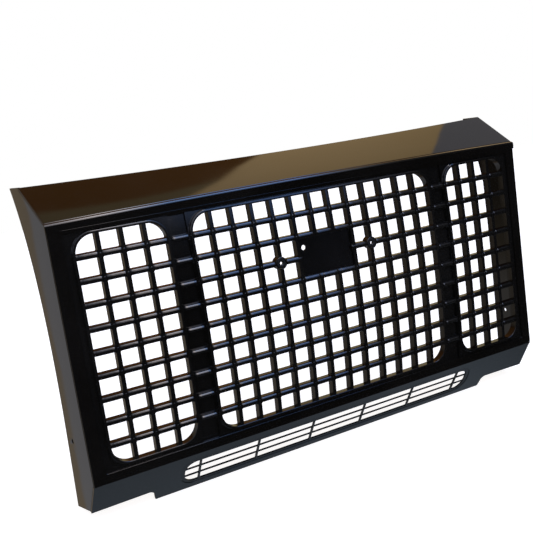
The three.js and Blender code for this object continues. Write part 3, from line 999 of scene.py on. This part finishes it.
def top_panel():
    """The panel that slopes up and back from the lip; both its edges are bowed."""
    slab = []
    for u in spaced(-1, 1, 0.04):
        ends = u * u
        front = Vector((SHELL_START, LIP_REAR + 3.3 * (1 - ends)))
        rear = Vector((85.1 + 9.7 * ends, 227.7 + 5.6 * ends))
        drop = WALL * (rear - front).length / (rear.x - front.x)
        ring = []
        for t, inward in ((0, 0), (0.33, 0), (0.67, 0), (1, 0), (1, 1), (0, 1)):
            p = front.lerp(rear, t)
            ring.append((u * cheek_x(p.x), p.x, p.y - inward * drop))
        slab.append(ring)
    mesh = softened("top", [loft(slab)], 0.8)
    finish_piece("top_panel_skin", [], [mesh], SHELL_BLACK, ["top_panel"])


def on_apron(s, depth=0):
    y = SHELL_START + s * math.sin(APRON_ANGLE) + depth * math.cos(APRON_ANGLE)
    z = FACE_BOTTOM - GAP - s * math.cos(APRON_ANGLE) + depth * math.sin(APRON_ANGLE)
    return y, z


def cheek(side):
    rear = Vector(PANEL_REAR)
    run = rear.x - SHELL_START
    drop = WALL * math.hypot(run, rear.y - LIP_REAR) / run + GAP
    corner = on_apron(0, WALL + GAP)
    foot = on_apron(APRON_LENGTH, WALL + GAP)
    outline = [(SHELL_START, LIP_REAR - drop), (SHELL_START, corner[1]), corner, foot]
    points = [Vector(p) for p in ((102.4, -241.4), (89.5, -103), (59, 95), (138.1, 233.3))]
    for k in range(41):
        t = k / 40
        a, b, c, d = (1 - t) ** 3, 3 * t * (1 - t) ** 2, 3 * t * t * (1 - t), t**3
        outline.append(tuple(a * points[0] + b * points[1] + c * points[2] + d * points[3]))
    outline += [(rear.x + GAP, 233.3), (rear.x + GAP, rear.y - drop)]
    hole = circle(CHEEK_HOLE["y"], CHEEK_HOLE["z"], CHEEK_HOLE["radius"])
    flat = plate(outline, [hole], 0, WALL)
    form = moved(flat, lambda p: (side * (cheek_x(p.x) - p.y), p.x, p.z))
    mesh = softened("cheek", [form], 0.7)
    name = "right_cheek" if side > 0 else "left_cheek"
    finish_piece(f"{name}_skin", [], [mesh], SHELL_BLACK, [name])


def onto_apron(form, outer=0):
    """Places a form drawn in x, depth and -s on the apron's slope."""
    return moved(form, lambda p: (p.x, *on_apron(-p.z, p.y + outer)))


def slot_outline(half, top, bottom, radius, steps=8):
    corners = [(-half, -bottom), (half, -bottom), (half, -top), (-half, -top)]
    return rounded([(x, z, radius) for x, z in corners], steps)


def lower_apron():
    foot = cheek_x(on_apron(APRON_LENGTH)[0])
    head = cheek_x(SHELL_START)
    right = [(317, -79.2, 2), (320, -61, 3), (326, -56.5, 4), (foot, -APRON_LENGTH, 0), (head, 0, 0)]
    outline = rounded([(-x, z, radius) for x, z, radius in reversed(right)] + right)
    hole = slot_outline(SLOT["half"], SLOT["top"], SLOT["bottom"], SLOT["radius"])
    mesh = softened("apron", [onto_apron(plate(outline, [hole], 0, WALL))], 0.9)
    finish_piece("lower_apron_skin", [], [mesh], SHELL_BLACK, ["lower_apron"])


def box_outline(left, right, low, high):
    return [(left, low), (right, low), (right, high), (left, high)]


def lower_vent():
    """The rimmed insert in the apron's slot: two long bars behind six dividers."""
    edge_in = {"half": -GAP, "top": GAP, "bottom": -GAP, "radius": -GAP}
    outer = slot_outline(*[SLOT[name] + shift for name, shift in edge_in.items()])
    inner = slot_outline(VENT["half"], VENT["top"], VENT["bottom"], VENT["radius"])
    forms = [plate(outer, [inner], 0.8, 3.6)]
    opening = (VENT["bottom"] - VENT["top"] - VENT_BARS * VENT_BAR) / (VENT_BARS + 1)
    length = VENT["half"] + 1
    for i in range(VENT_BARS):
        s = VENT["top"] + (i + 1) * opening + (i + 0.5) * VENT_BAR
        forms.append(plate(box_outline(-length, length, -s - VENT_BAR / 2, -s + VENT_BAR / 2), [], 1.5, 3.5))
    for column in DIVIDER_COLUMNS:
        x = column * PITCH
        divider = box_outline(x - 1.5, x + 1.5, -VENT["bottom"] - 3, -VENT["top"] + 1)
        forms.append(plate(divider, [], 0.5, 3.4))
    mesh = softened("vent", [onto_apron(form) for form in forms], 0.45, 2)
    finish_piece("lower_vent_insert", [], [mesh], VENT_BLACK, ["lower_vent"])


def mesh_screws():
    """Washer-head screws with a hexagon socket, one in each boss."""
    steps = 24
    socket = [1.9 / math.cos((k * math.tau / steps) % (math.tau / 6) - math.tau / 12) for k in range(steps)]
    shank = [(0.001, -3.9), (1.0, -3.9), (1.3, -3.5), (1.3, 0)]
    profile = shank + [(4.8, 0), (4.8, 0.7), (3.3, 1.0), (3.0, 2.0), (2.6, 2.2)]
    rings = []
    for k in range(steps):
        a = k * math.tau / steps
        full = profile + [(socket[k], 2.2), (socket[k], 0.9), (0.001, 0.9)]
        rings.append([(r * math.cos(a), y, r * math.sin(a)) for r, y in full])
    screws = scattered(loft(rings, closed=True), SCREW_SITES, SHELL_START + FLANGE + GAP, ZINC)
    nodes = sorted(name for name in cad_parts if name.startswith("mesh_screw_"))
    finish_piece("mesh_screws", [], [screws], ZINC, nodes)


face_frame()
top_panel()
lower_apron()
lower_vent()
centre_mesh()
badge_plate()
mesh_screws()
for side in (-1, 1):
    cheek(side)
    side_mesh(side)
    pillar(side)
    badge_bush(side)

# ---------------------------------------------------------------- studio


def add_floor():
    mesh = bpy.data.meshes.new("floor")
    low = CAD_BOX[0][2] - 0.001
    corners = [(-6, -6, low), (6, -6, low), (6, 6, low), (-6, 6, low)]
    mesh.from_pydata(corners, [], [(0, 1, 2, 3)])
    floor = as_object(mesh)
    material = bpy.data.materials.new("pale floor")
    material.use_nodes = True
    shader = material.node_tree.nodes["Principled BSDF"]
    shader.inputs["Base Color"].default_value = (0.5, 0.5, 0.5, 1)
    shader.inputs["Roughness"].default_value = 0.9
    shader.inputs["Specular IOR Level"].default_value = 0.0
    shader.inputs["Emission Color"].default_value = (1, 1, 1, 1)
    shader.inputs["Emission Strength"].default_value = 0.9
    mesh.materials.append(material)
    floor.visible_glossy = False


def ramp(tree, value, stops):
    node = tree.nodes.new("ShaderNodeValToRGB")
    link(tree, value, node.inputs[0])
    elements = node.color_ramp.elements
    while len(elements) < len(stops):
        elements.new(0.5)
    for element, (position, colour) in zip(elements, stops):
        element.position = position
        element.color = (*colour, 1)
    return node.outputs[0]


def edge(tree, value, place, softness):
    """A mask that turns from 0 to 1 where a value passes a place."""
    return ranged(tree, value, place - softness / 2, place + softness / 2, 0.0, 1.0)


def weighed(tree, parts, offset=0.0):
    """The sum of values, each times its weight."""
    total = offset
    for value, weight in parts:
        total = math_node(tree, "ADD", math_node(tree, "MULTIPLY", value, weight), total)
    return total


def tinted(tree, first, second):
    """Two colours multiplied."""
    node = tree.nodes.new("ShaderNodeVectorMath")
    node.operation = "MULTIPLY"
    link(tree, first, node.inputs[0])
    link(tree, second, node.inputs[1])
    return node.outputs[0]


def overhead_light(tree, x, y):
    """The roof above: dark timber to the left, a tan ceiling in the middle, a grey screen to the right."""
    timber = (0.25, 0.105, 0.022, 1)
    olive = (0.34, 0.25, 0.12, 1)
    strip = edge(tree, weighed(tree, [(x, 0.094), (y, -1.0)], 0.4103), 0.0, 0.004)
    left = mixed(tree, strip, timber, olive)
    ceiling = ramp(tree, y, [(0.36, (0.8, 0.55, 0.26)), (0.48, (1.35, 0.93, 0.46))])
    wall = edge(tree, weighed(tree, [(x, 1.0), (y, -2.3)], 0.619), 0.0, 0.012)
    middle = mixed(tree, wall, left, ceiling)
    screen = edge(tree, weighed(tree, [(x, 1.0), (y, -0.63)], 0.23), 0.645, 0.004)
    return mixed(tree, screen, middle, (0.31, 0.3, 0.32, 1))


def rear_light(tree, x):
    """Low behind: brown shade to the left, warm and paler to the right."""
    stops = [
        (0.45, (0.08, 0.03, 0.006)),
        (0.58, (0.28, 0.11, 0.025)),
        (0.7, (0.6, 0.48, 0.25)),
        (0.9, (0.6, 0.5, 0.3)),
    ]
    return ramp(tree, ranged(tree, x, -0.3, 0.8, 0.0, 1.0), stops)


def front_light(tree, x, z):
    """In front: strips of cool sky, brightest a little left of the middle and gone to the right."""
    heights = [(0.06, 0.03), (0.13, 1.0), (0.4, 2.4), (0.45, 0.5), (0.52, 0.5), (0.58, 2.0), (0.85, 3.4)]
    strips = [(place, (level, level, level)) for place, level in heights]
    tones = [
        (0.17, (0.35, 0.37, 0.46)),
        (0.25, (2.7, 2.45, 2.5)),
        (0.29, (2.0, 2.0, 2.3)),
        (0.34, (0.45, 0.85, 1.8)),
        (0.5, (0.4, 0.7, 1.6)),
        (0.55, (0.4, 0.42, 0.5)),
        (0.6, (0.1, 0.095, 0.09)),
        (0.68, (0.04, 0.04, 0.04)),
    ]
    return tinted(tree, ramp(tree, z, strips), ramp(tree, x, tones))


def ground_light(tree, x, y, z):
    """Underneath: dark in front, slate straight down, and behind it yard and boards at the left."""
    depths = [
        (0.1, (0.05, 0.04, 0.03)),
        (0.17, (0.15, 0.125, 0.09)),
        (0.22, (0.3, 0.28, 0.26)),
        (0.4, (0.36, 0.36, 0.37)),
    ]
    yard = ramp(tree, ranged(tree, z, 0.0, -1.0, 0.0, 1.0), depths)
    boards = mixed(tree, edge(tree, x, 0.003, 0.003), (0.17, 0.165, 0.18, 1), (0.2, 0.14, 0.075, 1))
    left = mixed(tree, edge(tree, x, -0.1, 0.06), yard, boards)
    behind = mixed(tree, edge(tree, x, 0.1, 0.06), left, (0.05, 0.045, 0.04, 1))
    near = mixed(tree, edge(tree, z, -0.72, 0.16), (0.23, 0.28, 0.34, 1), (0.012, 0.011, 0.01, 1))
    under = mixed(tree, edge(tree, y, -0.12, 0.1), (0.012, 0.011, 0.01, 1), near)
    return mixed(tree, edge(tree, y, 0.35, 0.3), under, behind)


def add_surroundings():
    """Soft surroundings: white to the eye, and to the gloss a dim hall with sky in front and a roof above."""
    world = bpy.data.worlds.new("surroundings")
    bpy.context.scene.world = world
    world.use_nodes = True
    tree = world.node_tree
    tree.nodes.clear()
    way = tree.nodes.new("ShaderNodeSeparateXYZ")
    link(tree, tree.nodes.new("ShaderNodeTexCoord").outputs["Generated"], way.inputs[0])
    x, y, z = way.outputs
    back = mixed(tree, edge(tree, z, 0.42, 0.15), rear_light(tree, x), overhead_light(tree, x, y))
    gap = mixed(tree, edge(tree, y, 0.26, 0.04), (0.02, 0.02, 0.02, 1), back)
    sky = mixed(tree, edge(tree, y, -0.02, 0.1), front_light(tree, x, z), gap)
    seen = mixed(tree, edge(tree, z, 0.005, 0.02), ground_light(tree, x, y, z), sky)
    eye = tree.nodes.new("ShaderNodeLightPath").outputs["Is Camera Ray"]
    background = tree.nodes.new("ShaderNodeBackground")
    link(tree, mixed(tree, eye, seen, (1, 1, 1, 1)), background.inputs["Color"])
    output = tree.nodes.new("ShaderNodeOutputWorld")
    link(tree, background.outputs[0], output.inputs["Surface"])


def add_softbox(name, place, aim, size, power, colour):
    data = bpy.data.lights.new(name, "AREA")
    data.shape = "RECTANGLE"
    data.size, data.size_y = size
    data.energy = power
    data.color = colour
    lamp = bpy.data.objects.new(name, data)
    lamp.location = place
    lamp.rotation_euler = (Vector(aim) - Vector(place)).to_track_quat("-Z", "Y").to_euler()
    bpy.context.scene.collection.objects.link(lamp)


def add_card(name, middle, size, brightness, colour):
    """A plain glowing card that faces forwards and shows only in the gloss."""
    mesh = bpy.data.meshes.new(name)
    x, y, z = middle
    w, h = size[0] / 2, size[1] / 2
    corners = [(x - w, y, z - h), (x + w, y, z - h), (x + w, y, z + h), (x - w, y, z + h)]
    mesh.from_pydata(corners, [], [(0, 1, 2, 3)])
    card = as_object(mesh)
    material = bpy.data.materials.new(name)
    material.use_nodes = True
    shader = material.node_tree.nodes["Principled BSDF"]
    shader.inputs["Base Color"].default_value = (0, 0, 0, 1)
    shader.inputs["Specular IOR Level"].default_value = 0.0
    shader.inputs["Emission Color"].default_value = (*colour, 1)
    shader.inputs["Emission Strength"].default_value = brightness
    mesh.materials.append(material)
    card.visible_camera = False
    card.visible_shadow = False
    card.visible_diffuse = False


add_floor()
add_surroundings()
add_softbox("front softbox", (0.6, -1.6, 2.0), (0, 0, 0), (1.6, 0.6), 6, (1.0, 0.97, 0.93))
for name, low, high, colour in (
    ("grey boards", -1.05, -0.79, (1.0, 0.98, 1.02)),
    ("brown boards", -0.79, -0.62, (1.0, 0.8, 0.56)),
):
    add_card(name, ((low + high) / 2, 0.95, 0.0), (high - low, 1.4), 0.28, colour)
